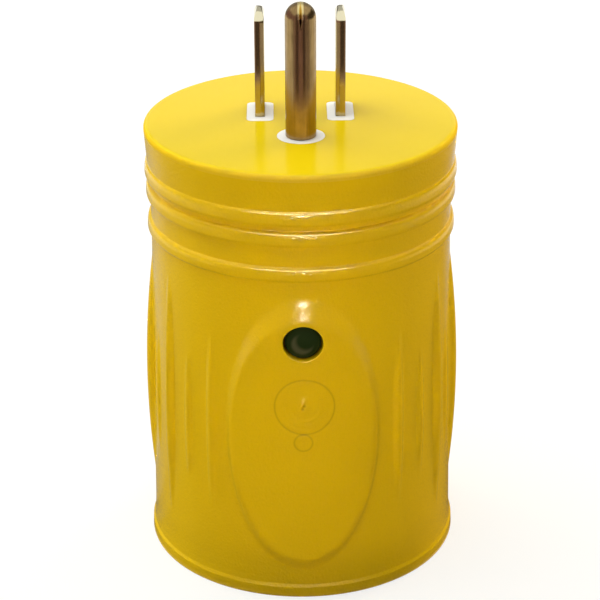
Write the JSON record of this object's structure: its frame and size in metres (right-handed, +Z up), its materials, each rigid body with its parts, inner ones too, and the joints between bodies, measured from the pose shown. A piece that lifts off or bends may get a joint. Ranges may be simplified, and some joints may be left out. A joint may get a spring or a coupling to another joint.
{
  "type": "outlet adapter plug",
  "caption": "Plug-in outlet adapter: round moulded body with stepped rings, grip ribs and an oval lamp panel, grounded plug prongs on top and a socket with sprung contacts in the base.",
  "frame": {"origin": "centre of the bottom rim, on the plane the adapter stands on", "axes": "+Z up along the body towards the prongs, lamp side towards -Y, neutral prong on +X"},
  "size_m": [0.0508, 0.0516, 0.0934],
  "materials": {
    "body_yellow": "satin moulded PVC",
    "core_white": "moulded nylon",
    "prong_plated": "nickel-plated brass",
    "contact_brass": "rolled strip",
    "spring_steel": "rolled",
    "lens_green": "clear tinted epoxy",
    "holder_black": "moulded",
    "board_green": "glass-fibre laminate",
    "resistor_tan": "lacquered",
    "diode_black": "moulded epoxy",
    "lead_tin": "tinned wire",
    "wire_black": "PVC insulation",
    "wire_white": "PVC insulation",
    "solder": "satin"
  },
  "bodies": {
    "adapter": {"grip_body": "body_yellow", "plug_carrier": "core_white", "receptacle_face": "core_white", "receptacle_core": "core_white", "hot_blade": "prong_plated", "neutral_blade": "prong_plated", "ground_pin": "prong_plated", "hot_contact_base": "contact_brass", "neutral_contact_base": "contact_brass", "ground_socket": "contact_brass", "socket_spring_ring": "spring_steel", "hot_link": "contact_brass", "neutral_link": "contact_brass", "ground_link": "contact_brass", "blade_rivets": "contact_brass", "contact_rivets": "contact_brass", "lamp_lens": "lens_green", "lamp_leads": "lead_tin", "lamp_holder": "holder_black", "lamp_board": "board_green", "dropper_resistor": "resistor_tan", "rectifier_diode": "diode_black", "component_leads": "lead_tin", "hot_lamp_wire": "wire_black", "neutral_lamp_wire": "wire_white", "solder_joints": "solder"},
    "hot_leaf_back": {"hot_leaf_back": "contact_brass"},
    "hot_leaf_front": {"hot_leaf_front": "contact_brass"},
    "neutral_leaf_back": {"neutral_leaf_back": "contact_brass"},
    "neutral_leaf_front": {"neutral_leaf_front": "contact_brass"}
  },
  "joints": [
    {"name": "hot_back_leaf_flex", "type": "hinge", "parent": "adapter", "child": "hot_leaf_back", "pos_m": [-0.00738, 0.00612, 0.0244], "axis": [0.7071, -0.7071, 0], "range_deg": [0, 3], "stiffness_Nm_per_rad": 0.5, "springref_deg": -1.72},
    {"name": "hot_front_leaf_flex", "type": "hinge", "parent": "adapter", "child": "hot_leaf_front", "pos_m": [-0.01162, 0.00188, 0.0244], "axis": [-0.7071, 0.7071, 0], "range_deg": [0, 3], "stiffness_Nm_per_rad": 0.5, "springref_deg": -1.72},
    {"name": "neutral_back_leaf_flex", "type": "hinge", "parent": "adapter", "child": "neutral_leaf_back", "pos_m": [0.00738, 0.00612, 0.0244], "axis": [0.7071, 0.7071, 0], "range_deg": [0, 3], "stiffness_Nm_per_rad": 0.5, "springref_deg": -1.72},
    {"name": "neutral_front_leaf_flex", "type": "hinge", "parent": "adapter", "child": "neutral_leaf_front", "pos_m": [0.01162, 0.00188, 0.0244], "axis": [-0.7071, -0.7071, 0], "range_deg": [0, 3], "stiffness_Nm_per_rad": 0.5, "springref_deg": -1.72}
  ],
  "couplings": [
    {"joint": "hot_front_leaf_flex", "follows": "hot_back_leaf_flex", "ratio": 1},
    {"joint": "neutral_front_leaf_flex", "follows": "neutral_back_leaf_flex", "ratio": 1}
  ]
}
